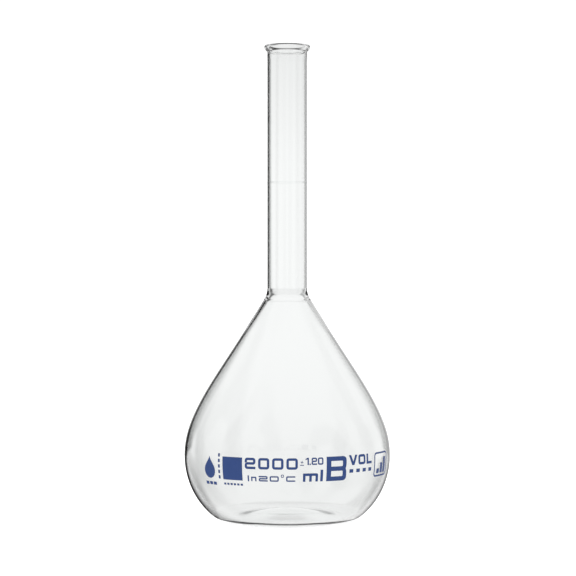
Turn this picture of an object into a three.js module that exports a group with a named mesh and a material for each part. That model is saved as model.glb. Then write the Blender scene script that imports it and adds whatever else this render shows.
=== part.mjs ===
// A 2000 ml volumetric flask: a blown bulb, the drawn neck tube that is sealed onto it, the graduation
// line round the neck, and the fired-enamel marks on the front of the bulb.
// Millimetres, +Z up. The origin is on the flask's axis, in the plane that it stands on; -Y is the front.
import * as THREE from 'three';
import { mergeVertices } from 'three/addons/utils/BufferGeometryUtils.js';
import { TessellateModifier } from 'three/addons/modifiers/TessellateModifier.js';

// ---- Driving dimensions: glass ----
const HEIGHT = 370;
const WALL = 1.8; // blown wall of the bulb
const FLOOR = 2.5; // the thicker glass over the base
const BELLY_RADIUS = 80.2;
const BELLY_HEIGHT = 51.7;
const CONTACT_OUTER = 43; // the flat ring that the flask stands on
const CONTACT_INNER = 40;
const PUNT_RISE = 5; // how far the middle of the base is pushed up
const HEEL = { radius: 57.7, height: 3.7, slope: THREE.MathUtils.degToRad(37.5) };
const CONE_ANGLE = THREE.MathUtils.degToRad(32); // of the upper bulb, from the axis
const CONE = { radius: 32.9, height: 148.8, end: 170.4 }; // where the belly's curve meets the cone
const ROOT = { start: 145, thicker: 0.7 }; // the wall thickens from this height up to the seal
const SEAL = { radius: 17.65, height: 173.2, gap: 0.3, bore: 14.6 }; // neck tube to bulb
const SEAL_LEAN = { outer: 0.5, inner: 0.3 }; // of the two surfaces from the vertical, where they pass it
const NECK_RADIUS = 15.5;
const NECK_BORE = 14.1;
const NECK_FOOT_HEIGHT = 181.5; // where the neck's swollen foot ends
const NECK_BORE_START = 178; // where its bore has narrowed to NECK_BORE
const LIP = { radius: 17.8, start: 364.8, boreEnd: 368.3, edge: 368.7, bead: 1.1 };
const GRADUATION = { height: 263.4, width: 0.5, proud: 0.2, gap: 0.1 };

// ---- Driving dimensions: enamel ----
const ENAMEL = 0.2; // thickness of the fired layer
const ENAMEL_GAP = 0.12; // clearance to the glass below it
const LONGEST_EDGE = 3.6; // of a mark's facets, so that it follows the round of the bulb
const TOP_LINE = { base: 47.5, height: 8.4 };
const LOWER_LINE = { base: 38.5, height: 4.1 };

// ---- Facets ----
const BULB_SEGMENTS = 60;
const NECK_SEGMENTS = 40;
const CURVE_STEPS = 5;
const FINE_STEPS = 60; // of the outline that the marks are laid on

const glass = () => new THREE.MeshStandardMaterial({
  color: 0xe9f1ef, roughness: 0.05, metalness: 0, transparent: true, opacity: 0.35,
});
const etchedGlass = () => new THREE.MeshStandardMaterial({ color: 0xd6dbdc, roughness: 0.6, metalness: 0 });
const enamel = () => new THREE.MeshStandardMaterial({ color: 0x35457a, roughness: 0.35, metalness: 0 });

const flask = new THREE.Group();

function add(name, geometry, material) {
  geometry.deleteAttribute('normal');
  geometry.deleteAttribute('uv');
  const solid = mergeVertices(geometry, 1e-4);
  solid.computeVertexNormals();
  const mesh = new THREE.Mesh(solid, material);
  mesh.name = name;
  flask.add(mesh);
}

// A solid of revolution about +Z from a profile of (radius, height) points.
function lathe(profile, segments) {
  return new THREE.LatheGeometry(profile, segments).rotateX(Math.PI / 2);
}

// ---- Bulb ----
const coneX = -Math.sin(CONE_ANGLE);
const coneY = Math.cos(CONE_ANGLE);
const heelX = Math.cos(HEEL.slope);
const heelY = Math.sin(HEEL.slope);
const coneEndRadius = CONE.radius + (CONE.end - CONE.height) * coneX / coneY;
const collarTop = SEAL.height - SEAL.gap / 2;
const footBottom = SEAL.height + SEAL.gap / 2;

// The outer surface from the flat ring up to the collar. A handle is how far a curve's control point
// lies from its end.
function bulbOutline() {
  const handle = { foot: 3, heelIn: 2, heelOut: 13, bellyIn: 24, bellyOut: 31, cone: 44, root: 1, collar: 1 };
  const outline = new THREE.Path();
  outline.moveTo(CONTACT_OUTER, 0);
  outline.bezierCurveTo(
    CONTACT_OUTER + handle.foot, 0,
    HEEL.radius - heelX * handle.heelIn, HEEL.height - heelY * handle.heelIn,
    HEEL.radius, HEEL.height,
  );
  outline.bezierCurveTo(
    HEEL.radius + heelX * handle.heelOut, HEEL.height + heelY * handle.heelOut,
    BELLY_RADIUS, BELLY_HEIGHT - handle.bellyIn,
    BELLY_RADIUS, BELLY_HEIGHT,
  );
  outline.bezierCurveTo(
    BELLY_RADIUS, BELLY_HEIGHT + handle.bellyOut,
    CONE.radius - coneX * handle.cone, CONE.height - coneY * handle.cone,
    CONE.radius, CONE.height,
  );
  outline.lineTo(coneEndRadius, CONE.end);
  outline.bezierCurveTo(
    coneEndRadius + coneX * handle.root, CONE.end + coneY * handle.root,
    SEAL.radius + SEAL_LEAN.outer * handle.collar, collarTop - handle.collar,
    SEAL.radius, collarTop,
  );
  return outline;
}

// The wall is thickest over the base and at the seal.
function thickness(height) {
  const { lerp, smoothstep } = THREE.MathUtils;
  const wall = lerp(FLOOR, WALL, smoothstep(height, 0, BELLY_HEIGHT));
  return wall + ROOT.thicker * smoothstep(height, ROOT.start, CONE.end);
}

// The inner surface runs a wall's thickness inside the outer one, and curves in to the neck's bore.
function innerSurface(outer) {
  const inwards = (point, along) => new THREE.Vector2(
    point.x - along.y * thickness(point.y),
    point.y + along.x * thickness(point.y),
  );
  const walled = outer.filter((point) => point.y < CONE.end - 0.1).map((point, i) => {
    const before = outer[Math.max(i - 1, 0)];
    return inwards(point, outer[i + 1].clone().sub(before).normalize());
  });
  walled[0].y = FLOOR;
  const coneEnd = inwards(new THREE.Vector2(coneEndRadius, CONE.end), new THREE.Vector2(coneX, coneY));
  const handle = { cone: 2.6, seal: 1.8 };
  const root = new THREE.CubicBezierCurve(
    coneEnd,
    new THREE.Vector2(coneEnd.x + coneX * handle.cone, coneEnd.y + coneY * handle.cone),
    new THREE.Vector2(SEAL.bore + SEAL_LEAN.inner * handle.seal, collarTop - handle.seal),
    new THREE.Vector2(SEAL.bore, collarTop),
  );
  return [...walled, ...root.getPoints(CURVE_STEPS)];
}

function puntPoints(rim, height, rise) {
  const arch = new THREE.Path();
  arch.moveTo(0, height + rise);
  arch.bezierCurveTo(rim * 0.5, height + rise, rim * 0.72, height, rim, height);
  return arch.getPoints(5);
}

const outer = bulbOutline().getPoints(CURVE_STEPS);
const inner = innerSurface(outer);
add('bulb', lathe([
  ...puntPoints(CONTACT_INNER, 0, PUNT_RISE),
  ...outer,
  ...inner.reverse(),
  ...puntPoints(CONTACT_INNER - FLOOR / 2, FLOOR, PUNT_RISE).reverse(),
], BULB_SEGMENTS), glass());

// ---- Neck tube, with its swollen foot and its flared, fire-polished lip ----
const neckHandle = {
  foot: 2.6, footTop: 3.2, lipStart: 0.6, lipEdge: 2.4, rim: 0.9, bore: 1.2, boreStart: 2.2,
};
const neck = new THREE.Path();
neck.moveTo(SEAL.bore, footBottom);
neck.lineTo(SEAL.radius, footBottom);
neck.bezierCurveTo(
  SEAL.radius - SEAL_LEAN.outer * neckHandle.foot, footBottom + neckHandle.foot,
  NECK_RADIUS, NECK_FOOT_HEIGHT - neckHandle.footTop,
  NECK_RADIUS, NECK_FOOT_HEIGHT,
);
neck.lineTo(NECK_RADIUS, LIP.start);
neck.bezierCurveTo(
  NECK_RADIUS, LIP.start + neckHandle.lipStart,
  LIP.radius, LIP.edge - neckHandle.lipEdge,
  LIP.radius, LIP.edge,
);
neck.quadraticCurveTo(LIP.radius, HEIGHT, LIP.radius - LIP.bead, HEIGHT);
neck.bezierCurveTo(
  NECK_BORE + LIP.bead, HEIGHT,
  NECK_BORE, LIP.boreEnd + neckHandle.rim,
  NECK_BORE, LIP.boreEnd,
);
neck.lineTo(NECK_BORE, NECK_BORE_START);
neck.bezierCurveTo(
  NECK_BORE, NECK_BORE_START - neckHandle.boreStart,
  SEAL.bore - SEAL_LEAN.inner * neckHandle.bore, footBottom + neckHandle.bore,
  SEAL.bore, footBottom,
);
add('neck_tube', lathe(neck.getPoints(4), NECK_SEGMENTS), glass());

// ---- Graduation line, all round the neck ----
const lineInner = NECK_RADIUS + GRADUATION.gap;
const lineOuter = lineInner + GRADUATION.proud;
const lineTop = GRADUATION.height + GRADUATION.width / 2;
const lineBottom = GRADUATION.height - GRADUATION.width / 2;
add('graduation_ring', lathe([
  new THREE.Vector2(lineInner, lineBottom),
  new THREE.Vector2(lineOuter, lineBottom),
  new THREE.Vector2(lineOuter, lineTop),
  new THREE.Vector2(lineInner, lineTop),
  new THREE.Vector2(lineInner, lineBottom),
], NECK_SEGMENTS), etchedGlass());

// ---- Marks: flat shapes, then laid on the bulb ----
const fineOutline = bulbOutline().getPoints(FINE_STEPS);

// A point on the bulb: `across` is the distance round the belly from the front, `height` is above the
// base and `lift` is the distance out of the glass.
function onBulb(across, height, lift) {
  const above = fineOutline.findIndex((point) => point.y > height);
  const low = fineOutline[above - 1];
  const high = fineOutline[above];
  const share = (height - low.y) / (high.y - low.y);
  const along = high.clone().sub(low).normalize();
  const radius = THREE.MathUtils.lerp(low.x, high.x, share) + along.y * lift;
  const angle = across / BELLY_RADIUS;
  return [radius * Math.sin(angle), -radius * Math.cos(angle), height - along.x * lift];
}

function mark(name, shape, across, height) {
  const flat = new THREE.ExtrudeGeometry(shape, { depth: ENAMEL, bevelEnabled: false, curveSegments: 2 });
  const laid = new TessellateModifier(LONGEST_EDGE, 8).modify(flat);
  const position = laid.getAttribute('position');
  for (let i = 0; i < position.count; i += 1) {
    const lift = ENAMEL_GAP + position.getZ(i);
    position.setXYZ(i, ...onBulb(across + position.getX(i), height + position.getY(i), lift));
  }
  add(name, laid, enamel());
}

// The line that a stroke's middle follows, with its corners rounded.
function roundedLine(corners, radius, closed) {
  const line = new THREE.Path();
  const count = corners.length;
  const towards = (from, to) => from.clone().add(to.clone().sub(from).setLength(radius));
  corners.forEach((corner, i) => {
    const before = corners[(i + count - 1) % count];
    const after = corners[(i + 1) % count];
    const isEnd = !closed && (i === 0 || i === count - 1);
    const start = isEnd || radius === 0 ? corner : towards(corner, before);
    if (i === 0) {
      line.moveTo(start.x, start.y);
    } else {
      line.lineTo(start.x, start.y);
    }
    if (start !== corner) {
      const end = towards(corner, after);
      line.quadraticCurveTo(corner.x, corner.y, end.x, end.y);
    }
  });
  return line.getPoints(2);
}

// The line moved sideways by `distance`, with mitred corners.
function besideLine(line, distance, closed) {
  const count = line.length;
  const sideways = (from, to) => new THREE.Vector2(from.y - to.y, to.x - from.x).normalize();
  return line.map((point, i) => {
    const first = !closed && i === 0;
    const last = !closed && i === count - 1;
    const before = line[(i + count - 1) % count];
    const after = line[(i + 1) % count];
    const sideIn = sideways(first ? point : before, first ? after : point);
    const sideOut = sideways(last ? before : point, last ? point : after);
    const mitre = sideIn.clone().add(sideOut).divideScalar(1 + sideIn.dot(sideOut));
    return mitre.multiplyScalar(distance).add(point);
  });
}

function extendEnd(end, neighbour, distance) {
  end.add(end.clone().sub(neighbour).setLength(distance));
}

function strokeShape(corners, { width, height, stroke, round = 0, closed = false }) {
  const scaled = corners.map(([x, y]) => new THREE.Vector2(
    stroke / 2 + x * (width - stroke),
    stroke / 2 + y * (height - stroke),
  ));
  if (!closed) {
    extendEnd(scaled[0], scaled[1], stroke / 2);
    extendEnd(scaled[scaled.length - 1], scaled[scaled.length - 2], stroke / 2);
  }
  const line = roundedLine(scaled, round, closed);
  const left = besideLine(line, stroke / 2, closed);
  const right = besideLine(line, -stroke / 2, closed);
  if (!closed) {
    return new THREE.Shape([...right, ...left.reverse()]);
  }
  const ring = new THREE.Shape(right);
  ring.holes.push(new THREE.Path(left.reverse()));
  return ring;
}

function polygon(corners) {
  return new THREE.Shape(corners.map(([x, y]) => new THREE.Vector2(x, y)));
}

function block(width, height) {
  return polygon([[0, 0], [width, 0], [width, height], [0, height]]);
}

// A row of upright legs under one bar, as in the letters n and m.
function comb(width, height, stroke, legs) {
  const corner = stroke * 0.8;
  const shape = new THREE.Shape();
  shape.moveTo(0, 0);
  shape.lineTo(0, height);
  shape.lineTo(width - corner, height);
  shape.quadraticCurveTo(width, height, width, height - corner);
  for (let leg = legs - 1; leg >= 0; leg -= 1) {
    const x = leg * (width - stroke) / (legs - 1);
    shape.lineTo(x + stroke, 0);
    if (leg > 0) {
      const gapStart = (leg - 1) * (width - stroke) / (legs - 1) + stroke;
      shape.lineTo(x, 0);
      shape.lineTo(x, height - stroke);
      shape.lineTo(gapStart, height - stroke);
    }
  }
  return shape;
}

// The digit 1: a stem with a flag that slopes down to the left.
function one(width, height, stroke) {
  const stem = width - stroke;
  const flag = height - 0.6 * stem;
  return polygon([
    [stem, 0], [width, 0], [width, height], [stem, height],
    [0, flag], [0, flag - stroke], [stem, height - stroke],
  ]);
}

// The letter V, cut off flat at its foot.
function vee(width, height, stroke) {
  const reach = Math.hypot(width / 2, height);
  const arm = stroke * reach / height; // an arm's width, measured level
  const fork = height * (1 - (width / 2 - arm) / (width / 2 - arm / 2));
  return polygon([
    [0, height], [(width - arm) / 2, 0], [(width + arm) / 2, 0], [width, height],
    [width - arm, height], [width / 2, fork], [arm, height],
  ]);
}

const GLYPHS = {
  0: { closed: true, corners: [[0, 0], [1, 0], [1, 1], [0, 1]] },
  2: { corners: [[0, 0.74], [0, 1], [1, 1], [1, 0.5], [0, 0.5], [0, 0], [1, 0]] },
  low2: { corners: [[0, 1], [1, 1], [1, 0.5], [0, 0.5], [0, 0], [1, 0]] },
  C: { corners: [[1, 1], [0, 1], [0, 0], [1, 0]] },
  L: { corners: [[0, 1], [0, 0], [1, 0]] },
};

function glyph(name, kind, across, height, size) {
  const { corners, closed } = GLYPHS[kind];
  mark(name, strokeShape(corners, { ...size, closed }), across, height);
}

// Capacity: 2000
const capacity = { width: 8.5, height: TOP_LINE.height, stroke: 1.85, round: 1.3 };
const capacityStart = -32.4;
const capacityPitch = 10.6;
['2', '0', '0', '0'].forEach((kind, i) => {
  glyph(`capacity_digit_${i + 1}`, kind, capacityStart + i * capacityPitch, TOP_LINE.base, capacity);
});

// Tolerance: plus or minus 1.20
const tolerance = { width: 4.3, height: 5.4, stroke: 1.08, round: 0.9 };
const toleranceBase = 50.8;
const plus = { across: 11, height: 52.9, half: 0.3, reach: 1.5 }; // half a stroke and half the sign
const minusDrop = 2.5; // from the plus's middle down to the minus
mark('tolerance_plus', polygon([
  [plus.half, plus.half], [plus.half, plus.reach], [-plus.half, plus.reach], [-plus.half, plus.half],
  [-plus.reach, plus.half], [-plus.reach, -plus.half], [-plus.half, -plus.half], [-plus.half, -plus.reach],
  [plus.half, -plus.reach], [plus.half, -plus.half], [plus.reach, -plus.half], [plus.reach, plus.half],
]), plus.across, plus.height);
const minus = block(2 * plus.reach, 2 * plus.half);
mark('tolerance_minus', minus, plus.across - plus.reach, plus.height - minusDrop);
mark('tolerance_digit_1', one(2.5, tolerance.height, tolerance.stroke), 13.7, toleranceBase);
mark('tolerance_point', block(1.1, 1.1), 16.6, toleranceBase);
glyph('tolerance_digit_2', '2', 18.2, toleranceBase, tolerance);
glyph('tolerance_digit_3', '0', 23.1, toleranceBase, tolerance);

// Calibration: In 20 degrees C
const calibration = { width: 6.9, height: LOWER_LINE.height, stroke: 1.02, round: 0.7 };
const degree = { width: 2.3, height: 2.3, stroke: 0.55, round: 0.7 };
mark('calibration_letter_i', block(1.1, LOWER_LINE.height + 0.4), -30.4, LOWER_LINE.base - 0.2);
const letterN = comb(4.2, LOWER_LINE.height - 0.7, calibration.stroke, 2);
mark('calibration_letter_n', letterN, -27.6, LOWER_LINE.base);
glyph('temperature_digit_1', 'low2', -21.6, LOWER_LINE.base, calibration);
glyph('temperature_digit_2', '0', -13.2, LOWER_LINE.base, calibration);
glyph('degree_sign', '0', -4.7, LOWER_LINE.base + 3, degree);
glyph('celsius_letter', 'C', -0.8, LOWER_LINE.base, calibration);

// Unit: ml
const unit = { base: LOWER_LINE.base - 0.1, small: 6.2, tall: 8.7, width: 11.6, stroke: 1.95 };
mark('unit_letter_m', comb(unit.width, unit.small, unit.stroke, 3), 11.8, unit.base);
mark('unit_letter_l', block(2.1, unit.tall), 25.2, unit.base);

// Accuracy class: B
const CLASS_B = { width: 17, height: 18.2, stem: 3.8, bar: 3.35, side: 3.4, round: 3.4, eye: 0.8 };
const CLASS_B_NOTCH = 0.9; // between its two bowls
function classLetter() {
  const { width, height, stem, bar, side, round, eye } = CLASS_B;
  const waist = height / 2;
  const notch = width - CLASS_B_NOTCH;
  const letter = new THREE.Shape();
  letter.moveTo(0, 0);
  letter.lineTo(width - round, 0);
  letter.quadraticCurveTo(width, 0, width, round);
  letter.quadraticCurveTo(width, waist - 1, notch, waist);
  letter.quadraticCurveTo(width, waist + 1, width, height - round);
  letter.quadraticCurveTo(width, height, width - round, height);
  letter.lineTo(0, height);
  const eyeHeight = (height - 3 * bar) / 2;
  const right = width - side;
  [bar, 2 * bar + eyeHeight].forEach((low) => {
    const top = low + eyeHeight;
    const hole = new THREE.Path();
    hole.moveTo(stem, low);
    hole.lineTo(stem, top);
    hole.lineTo(right - eye, top);
    hole.quadraticCurveTo(right, top, right, top - eye);
    hole.lineTo(right, low + eye);
    hole.quadraticCurveTo(right, low, right - eye, low);
    letter.holes.push(hole);
  });
  return letter;
}
mark('class_letter_b', classLetter(), 30, 38.3);

// Volume sign: three letters over four plain blocks
const signSize = { height: 7.6, stroke: 1.9, round: 1.2 };
mark('volume_letter_v', vee(8.2, signSize.height, signSize.stroke), 49.2, 49.2);
glyph('volume_letter_o', '0', 58.4, 49.2, { ...signSize, width: 7.6 });
glyph('volume_letter_l', 'L', 67.4, 49.2, { ...signSize, width: 6.4, round: 0 });
for (let i = 0; i < 4; i += 1) {
  mark(`volume_block_${i + 1}`, block(3.7, 2.7), 49.8 + i * 6.7, 43.6);
}

// Panel on the left, with a row of ticks below it
mark('marking_panel', block(17.4, 17.2), -52, 38.6);
for (let i = 0; i < 6; i += 1) {
  mark(`panel_tick_${i + 1}`, block(2, 1.5), -51.8 + i * 3, 34.7);
}

// Drop emblem, with a column of ticks beside it and a row below it
function drop(radius, height) {
  const shape = new THREE.Shape();
  const shoulder = radius * 1.1;
  shape.moveTo(0, height);
  shape.bezierCurveTo(-radius * 0.25, height * 0.75, -radius, shoulder * 1.6, -radius, radius);
  shape.absarc(0, radius, radius, Math.PI, 2 * Math.PI, false);
  shape.bezierCurveTo(radius, shoulder * 1.6, radius * 0.25, height * 0.75, 0, height);
  return shape;
}
mark('emblem_drop', drop(5.8, 16.6), -65.6, 38.8);
for (let i = 0; i < 3; i += 1) {
  mark(`emblem_tick_${i + 1}`, block(3.3, 2.3), -71.4 + i * 4.3, 33.9);
}
for (let i = 0; i < 5; i += 1) {
  mark(`side_tick_${i + 1}`, block(1.8, 2.5), -56.4, 39 + i * 4.1);
}

// Framed level sign on the right: a rounded frame with three rising bars in it
const frame = { width: 22.6, height: 18.6, stroke: 1.3, round: 3 };
const frameAcross = 77.4;
const frameBase = 38.2;
mark('level_frame', strokeShape(GLYPHS[0].corners, { ...frame, closed: true }), frameAcross, frameBase);
const bar = { width: 4, height: 3.6, rise: 4.2, pitch: 5.4, left: 4, bottom: 2.6 };
for (let i = 0; i < 3; i += 1) {
  const shape = block(bar.width, bar.height + i * bar.rise);
  mark(`level_bar_${i + 1}`, shape, frameAcross + bar.left + i * bar.pitch, frameBase + bar.bottom);
}

export default flask;
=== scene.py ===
"""Looks of a 2000 ml volumetric flask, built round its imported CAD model.

The bulb and the neck tube are fine glass shells that meet at the seal, the graduation line is an etched
band, and every mark is a thin layer of fired enamel that follows the round of the bulb. The flask's
lengths are in millimetres until a mesh is made, and all else is in metres. The front is -Y.
"""

import math

import bpy
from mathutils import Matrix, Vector
from mathutils.geometry import delaunay_2d_cdt


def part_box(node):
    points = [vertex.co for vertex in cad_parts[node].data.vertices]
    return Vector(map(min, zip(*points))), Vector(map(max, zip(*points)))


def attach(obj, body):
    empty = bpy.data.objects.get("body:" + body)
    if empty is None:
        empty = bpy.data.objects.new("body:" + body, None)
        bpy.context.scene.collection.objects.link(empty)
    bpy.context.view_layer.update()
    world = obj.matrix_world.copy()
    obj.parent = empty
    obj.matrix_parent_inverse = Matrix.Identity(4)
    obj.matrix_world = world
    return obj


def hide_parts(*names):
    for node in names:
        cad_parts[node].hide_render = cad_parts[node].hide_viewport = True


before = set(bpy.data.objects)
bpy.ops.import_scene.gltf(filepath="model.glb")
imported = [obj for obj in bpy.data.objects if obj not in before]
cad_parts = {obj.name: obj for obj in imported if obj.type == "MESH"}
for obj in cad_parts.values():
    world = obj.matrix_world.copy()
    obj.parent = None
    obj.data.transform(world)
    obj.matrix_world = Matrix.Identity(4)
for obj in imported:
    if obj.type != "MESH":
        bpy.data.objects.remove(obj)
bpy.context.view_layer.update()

MM = 0.001

# ---- Sizes that the frame gives ----
bulb_low, bulb_high = (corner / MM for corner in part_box("bulb"))
neck_low, neck_high = (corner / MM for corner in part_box("neck_tube"))
line_low, line_high = (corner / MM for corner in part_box("graduation_ring"))
BELLY_RADIUS = bulb_high.x
SEAL_HEIGHT = (bulb_high.z + neck_low.z) / 2
HEIGHT = neck_high.z

# ---- Shape of the glass ----
WALL = 1.8
FLOOR = 2.5
BELLY_HEIGHT = 51.7
CONTACT_OUTER = 43
CONTACT_INNER = 40
PUNT_RISE = 5
PUNT_TOP_SPREAD = 0.5  # shares of its radius, from the axis, where its curve's control points lie
PUNT_RIM_SPREAD = 0.72
HEEL_RADIUS = 57.7
HEEL_HEIGHT = 3.7
HEEL_SLOPE = math.radians(37.5)
CONE_ANGLE = math.radians(32)
CONE_RADIUS = 32.9
CONE_HEIGHT = 148.8
CONE_END = 170.4
ROOT_START = 145  # the wall thickens from this height up to the seal
ROOT_THICKER = 0.7
SEAL_RADIUS = 17.65
SEAL_BORE = 14.6
SEAL_LEAN = 0.3  # of the inner surface from the vertical, where the two blanks meet
COLLAR_LEAN = 0.5  # of the outer surface there
NECK_RADIUS = 15.5
NECK_BORE = 14.1
NECK_FOOT_HEIGHT = 181.5
NECK_BORE_START = 178
LIP_RADIUS = 17.8
LIP_START = 364.8
LIP_BORE_END = 368.3  # height where the rim's inner edge starts to round
LIP_EDGE = 368.7  # height of its widest point
LIP_BEAD = 1.1
LINE_PROUD = 0.1  # the graduation line's crown over its sides
LINE_CLEAR = 0.02  # between the line's sides and the neck

# How far each curve's control points lie from its ends
BULB_HANDLE = {
    "foot": 3, "heel_in": 2, "heel_out": 13, "belly_in": 24,
    "belly_out": 31, "cone": 44, "root": 1, "collar": 1,
}
ROOT_HANDLE = {"cone": 2.6, "seal": 1.8}  # of the inner surface
NECK_HANDLE = {
    "foot": 2.6, "foot_top": 3.2, "lip_start": 0.6, "lip_edge": 2.4,
    "rim": 0.9, "bore_start": 2.2, "bore_foot": 1.2,
}

# ---- Enamel ----
ENAMEL = 0.12  # thickness of the fired layer
ENAMEL_RIM = 0.16  # how far its edge takes to reach full thickness
ENAMEL_EDGE = 0.03  # height of its outer edge over the glass
ENAMEL_UNDER = 0.01  # height of its underside

# ---- Fineness ----
GLASS_SEGMENTS = 192
CURVE_STEPS = 28
FINE_STEPS = 120  # of the outline that the marks follow
MARK_GRID = 1.4  # spacing of the points inside a mark
TINY = 0.001
WELD = 1e-5  # points nearer than this become one


# ---- Outlines ----
def point(x, y):
    return Vector((x, y))


def bezier(start, handle_a, handle_b, end, steps):
    """Points along a cubic curve, without its start."""
    found = []
    for i in range(1, steps + 1):
        t = i / steps
        s = 1 - t
        found.append(s**3 * start + 3 * s * s * t * handle_a + 3 * s * t * t * handle_b + t**3 * end)
    return found


def quadratic(start, corner, end, steps=8):
    """Points along a curve that turns round a corner, without its start."""
    return bezier(start, start.lerp(corner, 2 / 3), end.lerp(corner, 2 / 3), end, steps)


def straight(start, end, steps):
    """Points along a line, without its start."""
    return [start.lerp(end, i / steps) for i in range(1, steps + 1)]


def smoothstep(value, low, high):
    t = min(max((value - low) / (high - low), 0), 1)
    return t * t * (3 - 2 * t)


HEEL_DIRECTION = point(math.cos(HEEL_SLOPE), math.sin(HEEL_SLOPE))
CONE_DIRECTION = point(-math.sin(CONE_ANGLE), math.cos(CONE_ANGLE))


def bulb_outline(steps):
    """The outer surface from the flat ring up to the seal."""
    contact = point(CONTACT_OUTER, 0)
    heel = point(HEEL_RADIUS, HEEL_HEIGHT)
    belly = point(BELLY_RADIUS, BELLY_HEIGHT)
    cone = point(CONE_RADIUS, CONE_HEIGHT)
    cone_end = cone + CONE_DIRECTION * ((CONE_END - CONE_HEIGHT) / CONE_DIRECTION.y)
    seal = point(SEAL_RADIUS, SEAL_HEIGHT)
    up, half = point(0, 1), steps // 2
    from_foot = contact + point(BULB_HANDLE["foot"], 0)
    to_heel = heel - HEEL_DIRECTION * BULB_HANDLE["heel_in"]
    from_heel = heel + HEEL_DIRECTION * BULB_HANDLE["heel_out"]
    to_cone = cone - CONE_DIRECTION * BULB_HANDLE["cone"]
    from_cone = cone_end + CONE_DIRECTION * BULB_HANDLE["root"]
    to_seal = seal - point(-COLLAR_LEAN, 1) * BULB_HANDLE["collar"]
    return [
        contact,
        *bezier(contact, from_foot, to_heel, heel, half),
        *bezier(heel, from_heel, belly - up * BULB_HANDLE["belly_in"], belly, steps),
        *bezier(belly, belly + up * BULB_HANDLE["belly_out"], to_cone, cone, steps * 2),
        *straight(cone, cone_end, half),
        *bezier(cone_end, from_cone, to_seal, seal, half),
    ]


def thickness(height):
    """The wall is thickest over the base and at the seal."""
    wall = FLOOR + (WALL - FLOOR) * smoothstep(height, 0, BELLY_HEIGHT)
    return wall + ROOT_THICKER * smoothstep(height, ROOT_START, CONE_END)


def inner_surface(outer):
    """The inner surface runs a wall's thickness inside the outer one, and curves in to the neck's bore."""
    walled = []
    for i, p in enumerate(outer):
        if p.y > CONE_END + TINY:
            break
        if p.y > CONE_HEIGHT:
            along = CONE_DIRECTION
        else:
            along = (outer[i + 1] - outer[max(i - 1, 0)]).normalized()
        walled.append(p + point(-along.y, along.x) * thickness(p.y))
    walled[0].y = FLOOR
    last = walled[-1]
    bore = point(SEAL_BORE, SEAL_HEIGHT)
    from_cone = last + CONE_DIRECTION * ROOT_HANDLE["cone"]
    to_seal = bore + point(SEAL_LEAN, -1) * ROOT_HANDLE["seal"]
    return [*walled, *bezier(last, from_cone, to_seal, bore, CURVE_STEPS // 2)]


def punt(rim, height):
    """The pushed-up middle of the base, from the axis out to the rim."""
    top = point(0, height + PUNT_RISE)
    edge = point(rim, height)
    from_top = point(rim * PUNT_TOP_SPREAD, height + PUNT_RISE)
    to_edge = point(rim * PUNT_RIM_SPREAD, height)
    return [top, *bezier(top, from_top, to_edge, edge, CURVE_STEPS)]


def bulb_profiles():
    """The outer and the inner surface. They stay open at the seal, where the glass is fused to the neck."""
    outer = bulb_outline(CURVE_STEPS)
    inner = inner_surface(outer)
    floor = punt(CONTACT_INNER - FLOOR / 2, FLOOR)
    return [*punt(CONTACT_INNER, 0), *outer], [*reversed(inner), *reversed(floor)]


def neck_profile():
    """From the seal up the outside, over the lip and down the bore, open at the seal like the bulb."""
    foot_inner = point(SEAL_BORE, SEAL_HEIGHT)
    foot = point(SEAL_RADIUS, SEAL_HEIGHT)
    foot_top = point(NECK_RADIUS, NECK_FOOT_HEIGHT)
    lip_start = point(NECK_RADIUS, LIP_START)
    lip_edge = point(LIP_RADIUS, LIP_EDGE)
    rim = point(LIP_RADIUS - LIP_BEAD, HEIGHT)
    bore_top = point(NECK_BORE, LIP_BORE_END)
    bore_start = point(NECK_BORE, NECK_BORE_START)
    corner = point(LIP_RADIUS, HEIGHT)
    up, half = point(0, 1), CURVE_STEPS // 2
    from_foot = foot + point(-COLLAR_LEAN, 1) * NECK_HANDLE["foot"]
    to_foot_top = foot_top - up * NECK_HANDLE["foot_top"]
    from_start = lip_start + up * NECK_HANDLE["lip_start"]
    to_edge = lip_edge - up * NECK_HANDLE["lip_edge"]
    to_bore = bore_top + up * NECK_HANDLE["rim"]
    from_bore = bore_start - up * NECK_HANDLE["bore_start"]
    to_foot = foot_inner + point(-SEAL_LEAN, 1) * NECK_HANDLE["bore_foot"]
    return [
        foot,
        *bezier(foot, from_foot, to_foot_top, foot_top, half),
        *straight(foot_top, lip_start, CURVE_STEPS),
        *bezier(lip_start, from_start, to_edge, lip_edge, half),
        *quadratic(lip_edge, corner, rim, half // 2),
        *bezier(rim, point(NECK_BORE + LIP_BEAD, HEIGHT), to_bore, bore_top, half),
        *straight(bore_top, bore_start, CURVE_STEPS),
        *bezier(bore_start, from_bore, to_foot, foot_inner, half),
    ]


# ---- Meshes ----
def new_object(name, vertices, faces, smooth=True):
    mesh = bpy.data.meshes.new(name)
    mesh.from_pydata([Vector(v) * MM for v in vertices], [], faces)
    mesh.validate()
    mesh.polygons.foreach_set("use_smooth", [smooth] * len(mesh.polygons))
    mesh.update()
    piece = bpy.data.objects.new(name, mesh)
    bpy.context.scene.collection.objects.link(piece)
    return piece


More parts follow.
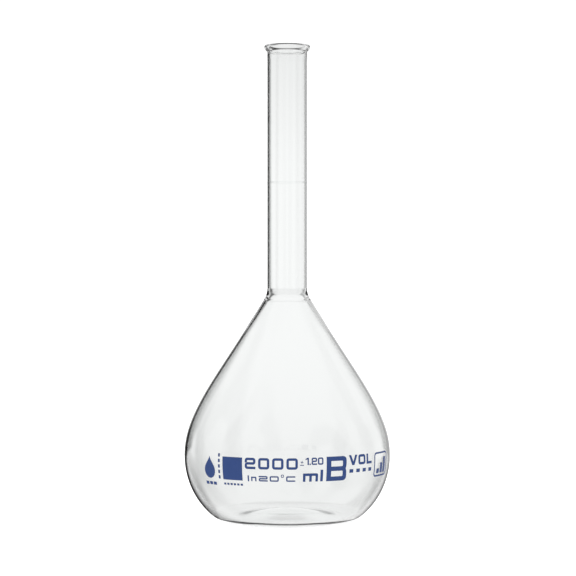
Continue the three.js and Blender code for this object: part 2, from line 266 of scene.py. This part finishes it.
def revolve(name, *profiles, loop=False):
    """The surfaces that the profiles sweep round the axis. A loop joins a profile's end to its start.

    A point on the axis becomes one vertex, so the faces that meet there are triangles.
    """
    vertices, faces = [], []
    for profile in profiles:
        rings = []
        for p in profile:
            count = GLASS_SEGMENTS if p.x > TINY else 1
            rings.append([len(vertices) + i % count for i in range(GLASS_SEGMENTS)])
            for i in range(count):
                angle = math.tau * i / GLASS_SEGMENTS
                vertices.append((p.x * math.sin(angle), -p.x * math.cos(angle), p.y))
        if loop:
            rings.append(rings[0])
        for low, high in zip(rings, rings[1:]):
            for i in range(GLASS_SEGMENTS):
                j = (i + 1) % GLASS_SEGMENTS
                faces.append(list(dict.fromkeys([low[i], low[j], high[j], high[i]])))
    return new_object(name, vertices, faces)


# ---- Materials ----
CLEAR = (0.985, 0.993, 0.990, 1)
# Painted shade: the dark grey that the glass's colour turns to where it is seen edge-on
PAINTED_EDGE_SHADE = (0.30, 0.33, 0.33, 1)
FROSTED = (0.96, 0.97, 0.97, 1)
NAVY = (0.015, 0.040, 0.142, 1)
NAVY_LIGHT = (0.022, 0.050, 0.166, 1)
NAVY_EDGE = (0.010, 0.018, 0.070, 1)
PAPER = (0.93, 0.93, 0.93, 1)
WHITE = (1, 1, 1, 1)
EDGE_SHADE_FULL = 0.35  # share of the rest of the way to edge-on where the painted edge shade is full


def material(name):
    made = bpy.data.materials.new(name)
    made.use_nodes = True
    nodes = made.node_tree.nodes
    shader = nodes["Principled BSDF"]
    return made, nodes, made.node_tree.links, shader


def noise(nodes, links, coordinates, scale, detail=3.0):
    texture = nodes.new("ShaderNodeTexNoise")
    texture.inputs["Scale"].default_value = scale
    texture.inputs["Detail"].default_value = detail
    links.new(coordinates, texture.inputs["Vector"])
    return texture


def clear_glass(name, edge):
    """Colourless borosilicate glass, with painted shade: its colour turns dark grey where it is seen
    edge-on, in place of the dark surroundings that its edges would show.

    edge is the facing value at which the painted shade starts, which is nearer to 1 on a wide shell than on
    a tube.
    """
    made, nodes, links, shader = material(name)
    shader.inputs["Transmission Weight"].default_value = 1.0
    shader.inputs["Roughness"].default_value = 0.0
    shader.inputs["IOR"].default_value = 1.473
    # Painted shade: the glass's colour darkens towards its edge-on outline
    facing = nodes.new("ShaderNodeLayerWeight")
    edge_shade_amount = nodes.new("ShaderNodeMapRange")
    edge_shade_amount.interpolation_type = "SMOOTHSTEP"
    edge_shade_amount.inputs["From Min"].default_value = edge
    edge_shade_amount.inputs["From Max"].default_value = edge + (1 - edge) * EDGE_SHADE_FULL
    links.new(facing.outputs["Facing"], edge_shade_amount.inputs["Value"])
    edge_shade_mix = nodes.new("ShaderNodeMix")
    edge_shade_mix.data_type = "RGBA"
    edge_shade_mix.inputs["A"].default_value = CLEAR
    edge_shade_mix.inputs["B"].default_value = PAINTED_EDGE_SHADE
    links.new(edge_shade_amount.outputs["Result"], edge_shade_mix.inputs["Factor"])
    links.new(edge_shade_mix.outputs["Result"], shader.inputs["Base Color"])
    coordinates = nodes.new("ShaderNodeTexCoord")
    striae = noise(nodes, links, coordinates.outputs["Object"], scale=14.0, detail=2.0)
    bump = nodes.new("ShaderNodeBump")
    bump.inputs["Strength"].default_value = 0.015
    bump.inputs["Distance"].default_value = 0.001
    links.new(striae.outputs["Fac"], bump.inputs["Height"])
    links.new(bump.outputs["Normal"], shader.inputs["Normal"])
    return made


def etched_glass():
    """The graduation line: a faint frosted band that bends light only a little."""
    made, nodes, links, shader = material("etched_line")
    shader.inputs["Transmission Weight"].default_value = 1.0
    shader.inputs["IOR"].default_value = 1.08
    shader.inputs["Base Color"].default_value = FROSTED
    coordinates = nodes.new("ShaderNodeTexCoord")
    grain = noise(nodes, links, coordinates.outputs["Object"], scale=3000.0)
    spread = nodes.new("ShaderNodeMapRange")
    spread.inputs["To Min"].default_value = 0.1
    spread.inputs["To Max"].default_value = 0.25
    links.new(grain.outputs["Fac"], spread.inputs["Value"])
    links.new(spread.outputs["Result"], shader.inputs["Roughness"])
    return made


def fired_enamel():
    """Navy enamel: denser along its edges, slightly mottled inside, with a satin surface."""
    made, nodes, links, shader = material("fired_enamel")
    shader.inputs["Specular IOR Level"].default_value = 0.25
    coordinates = nodes.new("ShaderNodeTexCoord")
    mottle = noise(nodes, links, coordinates.outputs["Object"], scale=260.0)
    body = nodes.new("ShaderNodeMix")
    body.data_type = "RGBA"
    body.inputs["A"].default_value = NAVY
    body.inputs["B"].default_value = NAVY_LIGHT
    links.new(mottle.outputs["Fac"], body.inputs["Factor"])
    depth = nodes.new("ShaderNodeAttribute")
    depth.attribute_name = "enamel_depth"
    edge = nodes.new("ShaderNodeMix")
    edge.data_type = "RGBA"
    edge.inputs["A"].default_value = NAVY_EDGE
    links.new(body.outputs["Result"], edge.inputs["B"])
    links.new(depth.outputs["Fac"], edge.inputs["Factor"])
    links.new(edge.outputs["Result"], shader.inputs["Base Color"])
    grain = noise(nodes, links, coordinates.outputs["Object"], scale=1800.0)
    gloss = nodes.new("ShaderNodeMapRange")
    gloss.inputs["To Min"].default_value = 0.3
    gloss.inputs["To Max"].default_value = 0.5
    links.new(grain.outputs["Fac"], gloss.inputs["Value"])
    links.new(gloss.outputs["Result"], shader.inputs["Roughness"])
    bump = nodes.new("ShaderNodeBump")
    bump.inputs["Strength"].default_value = 0.25
    bump.inputs["Distance"].default_value = 0.00004
    links.new(grain.outputs["Fac"], bump.inputs["Height"])
    links.new(bump.outputs["Normal"], shader.inputs["Normal"])
    return made


BULB_GLASS = clear_glass("bulb_glass", edge=0.9)
NECK_GLASS = clear_glass("neck_glass", edge=0.8)
ETCHED = etched_glass()
ENAMEL_BLUE = fired_enamel()


def finish_piece(piece, finish, slot, *nodes):
    piece.data.materials.append(finish)
    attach(piece, "root")
    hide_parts(*nodes)


# ---- Glass pieces ----
finish_piece(revolve("bulb_glass", *bulb_profiles()), BULB_GLASS, "glass", "bulb")
finish_piece(revolve("neck_glass", neck_profile()), NECK_GLASS, "glass", "neck_tube")


def ring_profile():
    """The section of a low rounded band that stands just off the neck."""
    middle = (line_low.z + line_high.z) / 2
    half_width = (line_high.z - line_low.z) / 2
    crown_steps = 8
    crown = []
    for i in range(crown_steps + 1):
        angle = math.pi * i / crown_steps
        radius = NECK_RADIUS + LINE_CLEAR + LINE_PROUD * math.sin(angle)
        crown.append(point(radius, middle - half_width * math.cos(angle)))
    underside = NECK_RADIUS + LINE_CLEAR / 2
    return [*crown, point(underside, middle + half_width), point(underside, middle - half_width)]


line_piece = revolve("graduation_line", ring_profile(), loop=True)
finish_piece(line_piece, ETCHED, "graduation_line", "graduation_ring")

# ---- Marks ----
FINE_OUTLINE = bulb_outline(FINE_STEPS)


def on_bulb(across, height, lift):
    """A point on the bulb: across is measured round the belly from the front, lift out of the glass."""
    above = next(i for i, p in enumerate(FINE_OUTLINE) if p.y > height)
    low, high = FINE_OUTLINE[above - 1], FINE_OUTLINE[above]
    along = (high - low).normalized()
    radius = low.x + (high.x - low.x) * (height - low.y) / (high.y - low.y) + along.y * lift
    angle = across / BELLY_RADIUS
    return radius * math.sin(angle), -radius * math.cos(angle), height - along.x * lift


def place(node):
    """Where a CAD mark lies on the bulb: its start across, its base height, its width and its height."""
    vertices = [v.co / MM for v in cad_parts[node].data.vertices]
    across = [math.atan2(v.x, -v.y) * BELLY_RADIUS for v in vertices]
    heights = [v.z for v in vertices]
    return min(across), min(heights), max(across) - min(across), max(heights) - min(heights)


def beside(line, distance, closed):
    """The line moved to its left by distance, with mitred corners."""
    def side(a, b):
        return point(a.y - b.y, b.x - a.x).normalized()

    found = []
    count = len(line)
    for i, p in enumerate(line):
        before, after = line[i - 1], line[(i + 1) % count]
        if not closed and i == 0:
            before = p
            side_in = side(p, after)
        else:
            side_in = side(before, p)
        side_out = side_in if not closed and i == count - 1 else side(p, after)
        mitre = (side_in + side_out) / (1 + side_in.dot(side_out))
        found.append(p + mitre * distance)
    return found


def rounded(corners, radius, closed, steps=6):
    """The corners joined by lines, with each corner rounded."""
    found = []
    count = len(corners)
    for i, corner in enumerate(corners):
        if radius == 0 or (not closed and i in (0, count - 1)):
            found.append(corner)
            continue
        start = corner + (corners[i - 1] - corner).normalized() * radius
        end = corner + (corners[(i + 1) % count] - corner).normalized() * radius
        found.append(start)
        found += quadratic(start, corner, end, steps)
    return found


def stroke_rings(corners, width, height, stroke, radius, closed):
    """The outline rings of a stroke of even width that runs along the corners."""
    line = [point(stroke / 2 + x * (width - stroke), stroke / 2 + y * (height - stroke)) for x, y in corners]
    if not closed:
        line[0] = line[0] + (line[0] - line[1]).normalized() * (stroke / 2)
        line[-1] = line[-1] + (line[-1] - line[-2]).normalized() * (stroke / 2)
    line = rounded(line, radius, closed)
    left = beside(line, stroke / 2, closed)
    right = beside(line, -stroke / 2, closed)
    if closed:
        return [right, left[::-1]]
    return [right + left[::-1]]


def block_rings(width, height, radius=0.12):
    corners = [point(0, 0), point(width, 0), point(width, height), point(0, height)]
    return [rounded(corners, radius, True, 3)]


def comb_rings(width, height, stroke, legs):
    """A row of upright legs under one bar, as in the letters n and m."""
    pitch = (width - stroke) / (legs - 1)
    corner = stroke * 0.8  # radius of the bar's round end
    turn = [point(width, height - corner), point(width, height), point(width - corner, height)]
    ring = [point(0, 0)]
    for leg in range(legs - 1):
        start = leg * pitch + stroke
        ring += [point(start, 0), point(start, height - stroke)]
        ring += [point(start + pitch - stroke, height - stroke), point(start + pitch - stroke, 0)]
    ring += [point(width, 0), turn[0]]
    ring += quadratic(*turn, 6)
    ring += [point(0, height)]
    return [ring]


def letter_b_rings(width, height):
    """The letter B: a body with two eyes and a notch at its waist."""
    stem, bar, side = 3.8, 3.35, 3.4  # widths of its strokes
    turn, eye = 3.4, 0.8  # radii of its outer and inner corners
    notch, notch_reach = 0.9, 1
    waist = height / 2
    ring = [point(0, 0), point(width - turn, 0)]
    ring += quadratic(ring[-1], point(width, 0), point(width, turn))
    ring += quadratic(ring[-1], point(width, waist - notch_reach), point(width - notch, waist))
    ring += quadratic(ring[-1], point(width, waist + notch_reach), point(width, height - turn))
    ring += quadratic(ring[-1], point(width, height), point(width - turn, height))
    ring += [point(0, height)]
    rings = [ring]
    eye_height = (height - 3 * bar) / 2
    right = width - side
    for low in (bar, 2 * bar + eye_height):
        top = low + eye_height
        hole = [point(stem, low), point(stem, top), point(right - eye, top)]
        hole += quadratic(hole[-1], point(right, top), point(right, top - eye), 4)
        hole += [point(right, low + eye)]
        hole += quadratic(hole[-1], point(right, low), point(right - eye, low), 4)
        rings.append(hole)
    return rings


def one_rings(width, height, stroke):
    """The digit 1: a stem with a flag that slopes down to the left."""
    slope = 0.6
    stem = width - stroke
    flag = height - slope * stem
    outer = [(stem, 0), (width, 0), (width, height), (stem, height)]
    flag_corners = [(0, flag), (0, flag - stroke), (stem, height - stroke)]
    return [[point(*corner) for corner in outer + flag_corners]]


def vee_rings(width, height, stroke):
    """The letter V, cut off flat at its foot."""
    arm = stroke * math.hypot(width / 2, height) / height
    fork = height * (1 - (width / 2 - arm) / (width / 2 - arm / 2))
    left, right = (width - arm) / 2, (width + arm) / 2
    outer = [(0, height), (left, 0), (right, 0), (width, height)]
    inner = [(width - arm, height), (width / 2, fork), (arm, height)]
    return [[point(*corner) for corner in outer + inner]]


def plus_rings(width, height, stroke):
    """A plus sign whose arms narrow to a point."""
    reach = width / 2
    half = stroke / 2
    arm = [(half, half), (half, reach)]
    ring = []
    for quarter in range(4):
        c, s = round(math.cos(quarter * math.pi / 2)), round(math.sin(quarter * math.pi / 2))
        ring += [point(reach + c * x - s * y, reach + s * x + c * y) for x, y in arm]
    return [ring]


def drop_rings(width, height):
    """A drop: a point above a round foot. The shares place its sides' control points."""
    foot_steps, side_steps = 24, 16
    top_in, top_down, side_up = 0.75, 0.75, 1.76
    radius = width / 2
    top = point(radius, height)
    left = point(0, radius)
    from_top, to_left = point(radius * top_in, height * top_down), point(0, radius * side_up)
    ring = [top, *bezier(top, from_top, to_left, left, side_steps)]
    for i in range(1, foot_steps + 1):
        angle = math.pi * i / foot_steps
        ring.append(point(radius - radius * math.cos(angle), radius - radius * math.sin(angle)))
    from_right, to_top = point(width, radius * side_up), point(radius * (2 - top_in), height * top_down)
    ring += bezier(ring[-1], from_right, to_top, top, side_steps)[:-1]
    return [ring]


def split_long(ring, longest):
    """The ring with points added, so that no side is longer than longest."""
    found = []
    for i, p in enumerate(ring):
        after = ring[(i + 1) % len(ring)]
        found += [p] + straight(p, after, max(1, math.ceil((after - p).length / longest)))[:-1]
    return found


def area(ring):
    """Positive where the ring runs anticlockwise."""
    after = ring[1:] + ring[:1]
    return sum(p.x * q.y - q.x * p.y for p, q in zip(ring, after)) / 2


def inside(p, rings):
    """Whether a point lies in the rings' shape, which leaves out the holes."""
    crossings = 0
    for ring in rings:
        for i, a in enumerate(ring):
            b = ring[(i + 1) % len(ring)]
            if (a.y > p.y) != (b.y > p.y) and p.x < a.x + (b.x - a.x) * (p.y - a.y) / (b.y - a.y):
                crossings += 1
    return crossings % 2 == 1


def distance_to(p, rings):
    """From a point to the nearest outline."""
    nearest = math.inf
    for ring in rings:
        for i, a in enumerate(ring):
            b = ring[(i + 1) % len(ring)]
            along = b - a
            t = min(max((p - a).dot(along) / max(along.length_squared, 1e-12), 0), 1)
            nearest = min(nearest, (a + along * t - p).length)
    return nearest


def mark(node, rings):
    """A layer of enamel in the shape of the rings, laid on the bulb where the CAD mark lies.

    Its top falls to ENAMEL_EDGE along the outline, over a rim ENAMEL_RIM wide, and its underside is a copy
    of its top, pressed down to ENAMEL_UNDER.
    """
    across, base, width, height = place(node)
    rings = [ring if (area(ring) > 0) == (i == 0) else ring[::-1] for i, ring in enumerate(rings)]
    rings = [split_long(ring, MARK_GRID) for ring in rings]
    crowns = [beside(ring, ENAMEL_RIM, True) for ring in rings]
    points, edges = [], []
    for ring in rings + crowns:
        start = len(points)
        points += ring
        edges += [(start + i, start + (i + 1) % len(ring)) for i in range(len(ring))]
    edge_count = sum(len(ring) for ring in rings)
    x = MARK_GRID
    while x < width:
        y = MARK_GRID
        while y < height:
            p = point(x, y)
            if inside(p, rings) and distance_to(p, rings) > ENAMEL_RIM + MARK_GRID / 3:
                points.append(p)
            y += MARK_GRID
        x += MARK_GRID
    flat, _, triangles, originals, _, _ = delaunay_2d_cdt(points, edges, [], 0, WELD)
    kept = [t for t in triangles if inside(sum((flat[i] for i in t), point(0, 0)) / 3, rings)]
    on_edge = [any(o < edge_count for o in source) for source in originals]
    used = sorted({i for t in kept for i in t})
    index = {old: new for new, old in enumerate(used)}
    tops, bottoms = [], []
    for i in used:
        place_on_bulb = across + flat[i].x, base + flat[i].y
        tops.append(on_bulb(*place_on_bulb, ENAMEL_EDGE if on_edge[i] else ENAMEL))
        bottoms.append(on_bulb(*place_on_bulb, ENAMEL_UNDER))
    count = len(used)
    faces, open_edges = [], {}
    for t in kept:
        a, b, c = (index[i] for i in t)
        faces += [[a, b, c], [c + count, b + count, a + count]]
        for pair in ((a, b), (b, c), (c, a)):
            if pair[::-1] in open_edges:
                del open_edges[pair[::-1]]
            else:
                open_edges[pair] = True
    faces += [[b, a, a + count, b + count] for a, b in open_edges]
    piece = new_object(node + "_enamel", tops + bottoms, faces, smooth=False)
    depth = piece.data.attributes.new("enamel_depth", "FLOAT", "POINT")
    depth.data.foreach_set("value", [0.0 if on_edge[i] else 1.0 for i in used] * 2)
    finish_piece(piece, ENAMEL_BLUE, "enamel", node)


GLYPHS = {
    "0": ([(0, 0), (1, 0), (1, 1), (0, 1)], True),
    "2": ([(0, 0.74), (0, 1), (1, 1), (1, 0.5), (0, 0.5), (0, 0), (1, 0)], False),
    "low2": ([(0, 1), (1, 1), (1, 0.5), (0, 0.5), (0, 0), (1, 0)], False),
    "C": ([(1, 1), (0, 1), (0, 0), (1, 0)], False),
    "L": ([(0, 1), (0, 0), (1, 0)], False),
}


def size(node):
    return place(node)[2:]


def glyph(node, kind, stroke, radius):
    corners, closed = GLYPHS[kind]
    mark(node, stroke_rings(corners, *size(node), stroke, radius, closed))


def block(node):
    mark(node, block_rings(*size(node)))


CAPACITY_STROKE, CAPACITY_ROUND = 1.85, 1.3
SMALL_STROKE, SMALL_ROUND = 1.08, 0.9
LOWER_STROKE, LOWER_ROUND = 1.02, 0.7
DEGREE_STROKE = 0.55
PLUS_STROKE = 0.6
UNIT_STROKE = 1.95
SIGN_STROKE, SIGN_ROUND = 1.9, 1.2
FRAME_STROKE, FRAME_ROUND = 1.3, 3

for number, kind in enumerate("2000", 1):
    glyph(f"capacity_digit_{number}", kind, CAPACITY_STROKE, CAPACITY_ROUND)
mark("tolerance_plus", plus_rings(*size("tolerance_plus"), PLUS_STROKE))
block("tolerance_minus")
mark("tolerance_digit_1", one_rings(*size("tolerance_digit_1"), SMALL_STROKE))
block("tolerance_point")
glyph("tolerance_digit_2", "2", SMALL_STROKE, SMALL_ROUND)
glyph("tolerance_digit_3", "0", SMALL_STROKE, SMALL_ROUND)
block("calibration_letter_i")
mark("calibration_letter_n", comb_rings(*size("calibration_letter_n"), LOWER_STROKE, 2))
glyph("temperature_digit_1", "low2", LOWER_STROKE, LOWER_ROUND)
glyph("temperature_digit_2", "0", LOWER_STROKE, LOWER_ROUND)
glyph("degree_sign", "0", DEGREE_STROKE, LOWER_ROUND)
glyph("celsius_letter", "C", LOWER_STROKE, LOWER_ROUND)
mark("unit_letter_m", comb_rings(*size("unit_letter_m"), UNIT_STROKE, 3))
block("unit_letter_l")
mark("class_letter_b", letter_b_rings(*size("class_letter_b")))
mark("volume_letter_v", vee_rings(*size("volume_letter_v"), SIGN_STROKE))
glyph("volume_letter_o", "0", SIGN_STROKE, SIGN_ROUND)
glyph("volume_letter_l", "L", SIGN_STROKE, 0)
mark("emblem_drop", drop_rings(*size("emblem_drop")))
glyph("level_frame", "0", FRAME_STROKE, FRAME_ROUND)
block("marking_panel")
rows_of_blocks = {"volume_block": 4, "panel_tick": 6, "emblem_tick": 3, "side_tick": 5, "level_bar": 3}
for stem, count in rows_of_blocks.items():
    for number in range(1, count + 1):
        block(f"{stem}_{number}")

# ---- Floor ----
FLOOR_REACH = 20.0  # metres
FLOOR_HEIGHT = -0.0002
floor_corners = [(-1, -1), (1, -1), (1, 1), (-1, 1)]
floor_points = [(x * FLOOR_REACH, y * FLOOR_REACH, FLOOR_HEIGHT) for x, y in floor_corners]
floor_mesh = bpy.data.meshes.new("floor")
floor_mesh.from_pydata(floor_points, [], [(0, 1, 2, 3)])
floor = bpy.data.objects.new("floor", floor_mesh)
bpy.context.scene.collection.objects.link(floor)
paper, _, _, paper_shader = material("white_paper")
paper_shader.inputs["Base Color"].default_value = PAPER
paper_shader.inputs["Roughness"].default_value = 0.9
paper_shader.inputs["Specular IOR Level"].default_value = 0.1
paper_shader.inputs["Emission Color"].default_value = WHITE
paper_shader.inputs["Emission Strength"].default_value = 0.6
floor.data.materials.append(paper)
# The glass shows the studio in place of the floor
floor.visible_transmission = False
floor.visible_glossy = False

# ---- Studio ----
world = bpy.data.worlds.new("studio")
bpy.context.scene.world = world
world.use_nodes = True
tree = world.node_tree
world_nodes, world_links = tree.nodes, tree.links
background = world_nodes["Background"]


def math_node(operation, *values):
    node = world_nodes.new("ShaderNodeMath")
    node.operation = operation
    for socket, value in zip(node.inputs, values):
        if isinstance(value, (int, float)):
            socket.default_value = value
        else:
            world_links.new(value, socket)
    return node.outputs[0]


def ramp_node(value, low, high, start, end):
    """start below low, end above high, and a smooth change between them."""
    node = world_nodes.new("ShaderNodeMapRange")
    node.interpolation_type = "SMOOTHSTEP"
    world_links.new(value, node.inputs["Value"])
    for socket, number in zip(("From Min", "From Max", "To Min", "To Max"), (low, high, start, end)):
        node.inputs[socket].default_value = number
    return node.outputs["Result"]


direction = world_nodes.new("ShaderNodeTexCoord").outputs["Generated"]
split = world_nodes.new("ShaderNodeSeparateXYZ")
world_links.new(direction, split.inputs[0])


def dot_node(vector):
    node = world_nodes.new("ShaderNodeVectorMath")
    node.operation = "DOT_PRODUCT"
    world_links.new(direction, node.inputs[0])
    node.inputs[1].default_value = vector
    return node.outputs["Value"]


def choose(factor, a, b):
    """a where factor is 0, b where it is 1."""
    node = world_nodes.new("ShaderNodeMix")
    node.data_type = "FLOAT"
    world_links.new(factor, node.inputs["Factor"])
    for name, value in (("A", a), ("B", b)):
        if isinstance(value, (int, float)):
            node.inputs[name].default_value = value
        else:
            world_links.new(value, node.inputs[name])
    return node.outputs["Result"]


BLEND = 0.1  # how far from the line of sight one side's values give way to the other's
SIDEWAYS = (0.15, 0.6)  # share of a ray's tilt that is sideways, from none of its effect to all of it
TALLER_ABOVE, TALLER_BELOW = 9.0, 14.0  # degrees that the opening reaches farther up and down than sideways
LEVEL, LEVEL_WIDER = (-0.06, 0.02), 3.0  # degrees that it is wider for level and rising rays
RISING, RISING_WIDER = (0.1, 0.22), 5.0  # and for steep ones
INNER_SOFT, OUTER_SOFT = 3.5, 4.0  # degrees, half the width of the flags' soft edges
SIDE_DEEPER = 0.65  # share of the extra depth that the flags at the sides have
DEEPENING = (-0.12, 0.0)  # rise of the ray over which the extra depth comes in
LIGHTER_ABOVE = (0.1, 0.35)  # rise over which the right flag gets lighter


def flag_ring(azimuth, elevation, left, right, above, below, inner=15.0, outer=34.0, deeper=0.0):
    """Dark flags in the surroundings round one line of sight, each side with its own brightness.

    inner and outer are the angles from the line of sight where the flags start and end, and deeper is how
    much farther out they end for level and rising rays. The opening between the flags is wider up and down
    than to the sides.
    """
    azimuth, elevation = math.radians(azimuth), math.radians(elevation)
    level = math.cos(elevation)
    axis = Vector((math.sin(azimuth) * level, math.cos(azimuth) * level, math.sin(elevation)))
    side = axis.cross(Vector((0, 0, 1))).normalized()
    up = side.cross(axis)
    along, across, upwards = dot_node(axis), dot_node(side), dot_node(up)
    squared = math_node("SUBTRACT", 1.0, math_node("POWER", along, 2.0))
    reach = math_node("SQRT", math_node("MAXIMUM", squared, 0.0001))
    across = math_node("DIVIDE", across, reach)
    sideways = ramp_node(math_node("ABSOLUTE", across), *SIDEWAYS, 0.0, 1.0)
    angle = math_node("DEGREES", math_node("ARCCOSINE", along))
    taller = ramp_node(upwards, -BLEND, BLEND, TALLER_BELOW, TALLER_ABOVE)
    angle = math_node("SUBTRACT", angle, math_node("MULTIPLY", math_node("SUBTRACT", 1.0, sideways), taller))
    angle = math_node("SUBTRACT", angle, ramp_node(upwards, *LEVEL, 0.0, LEVEL_WIDER))
    angle = math_node("SUBTRACT", angle, ramp_node(upwards, *RISING, 0.0, RISING_WIDER))
    opened = ramp_node(angle, inner - INNER_SOFT, inner + INNER_SOFT, 1.0, 0.0)
    spread = choose(sideways, deeper, deeper * SIDE_DEEPER)
    spread = math_node("MULTIPLY", spread, ramp_node(upwards, *DEEPENING, 0.0, 1.0))
    widened = math_node("SUBTRACT", angle, spread)
    closed = ramp_node(widened, outer - OUTER_SOFT, outer + OUTER_SOFT, 0.0, 1.0)
    vertical = ramp_node(upwards, -BLEND, BLEND, below, above)
    right_side = ramp_node(upwards, *LIGHTER_ABOVE, right, (1 + right) / 2)
    horizontal = choose(ramp_node(across, -BLEND, BLEND, 0.0, 1.0), left, right_side)
    return choose(math_node("MAXIMUM", opened, closed), choose(sideways, vertical, horizontal), 1.0)


# The surroundings are a little darker beside and behind the camera, high up and low down
surroundings = ramp_node(split.outputs["Y"], low=0.3, high=0.95, start=0.90, end=0.985)
top_fade = ramp_node(split.outputs["Z"], low=0.04, high=0.13, start=1.0, end=0.89)
base_fade = ramp_node(split.outputs["Z"], low=-0.12, high=-0.03, start=0.92, end=1.0)
light = math_node("MULTIPLY", surroundings, math_node("MULTIPLY", top_fade, base_fade))

# Each ring has an azimuth, an elevation, and its brightness left, right, above and below. The first one
# is for the view from the front, and the others darken the glass's edges from elsewhere.
for ring in (
    flag_ring(0, 0, 0.02, 0.42, 0.03, 0.7, inner=12.5, outer=26.0, deeper=24.0),
    flag_ring(-90, -3, 0.4, 0.4, 0.5, 0.8),
    flag_ring(135, -15, 0.4, 0.4, 0.5, 0.8),
    flag_ring(-45, -25, 0.55, 0.55, 0.6, 0.8),
):
    light = math_node("MULTIPLY", light, ring)

# The camera sees plain white, and matt surfaces are lit evenly; only the glass shows the flags
BACKDROP, SOFT_LIGHT = 1.1, 1.25
path = world_nodes.new("ShaderNodeLightPath")
diffused = math_node("GREATER_THAN", path.outputs["Diffuse Depth"], 0.5)
lit = choose(diffused, light, SOFT_LIGHT)
seen = choose(path.outputs["Is Camera Ray"], lit, BACKDROP)
world_links.new(seen, background.inputs["Strength"])
background.inputs["Color"].default_value = WHITE

# ---- Camera: level with the lower neck, far enough away that the flask looks almost flat ----
FOCAL_PIXELS = 1900
IMAGE_WIDTH = 576
SENSOR = 36.0
DISTANCE = 1.4822
ASIDE = 0.0006
CAMERA_HEIGHT = 0.195
AIM_HEIGHT = 0.181
camera_data = bpy.data.cameras.new("camera")
camera_data.sensor_width = SENSOR
camera_data.lens = SENSOR * FOCAL_PIXELS / IMAGE_WIDTH
camera = bpy.data.objects.new("camera", camera_data)
bpy.context.scene.collection.objects.link(camera)
camera.location = (ASIDE, -DISTANCE, CAMERA_HEIGHT)
aim = Vector((ASIDE, 0, AIM_HEIGHT))
camera.rotation_euler = (aim - camera.location).to_track_quat("-Z", "Y").to_euler()
bpy.context.scene.camera = camera
bpy.context.scene.view_settings.view_transform = "Standard"
bpy.context.scene.cycles.max_bounces = 32
bpy.context.scene.cycles.transmission_bounces = 32
bpy.context.scene.cycles.glossy_bounces = 8
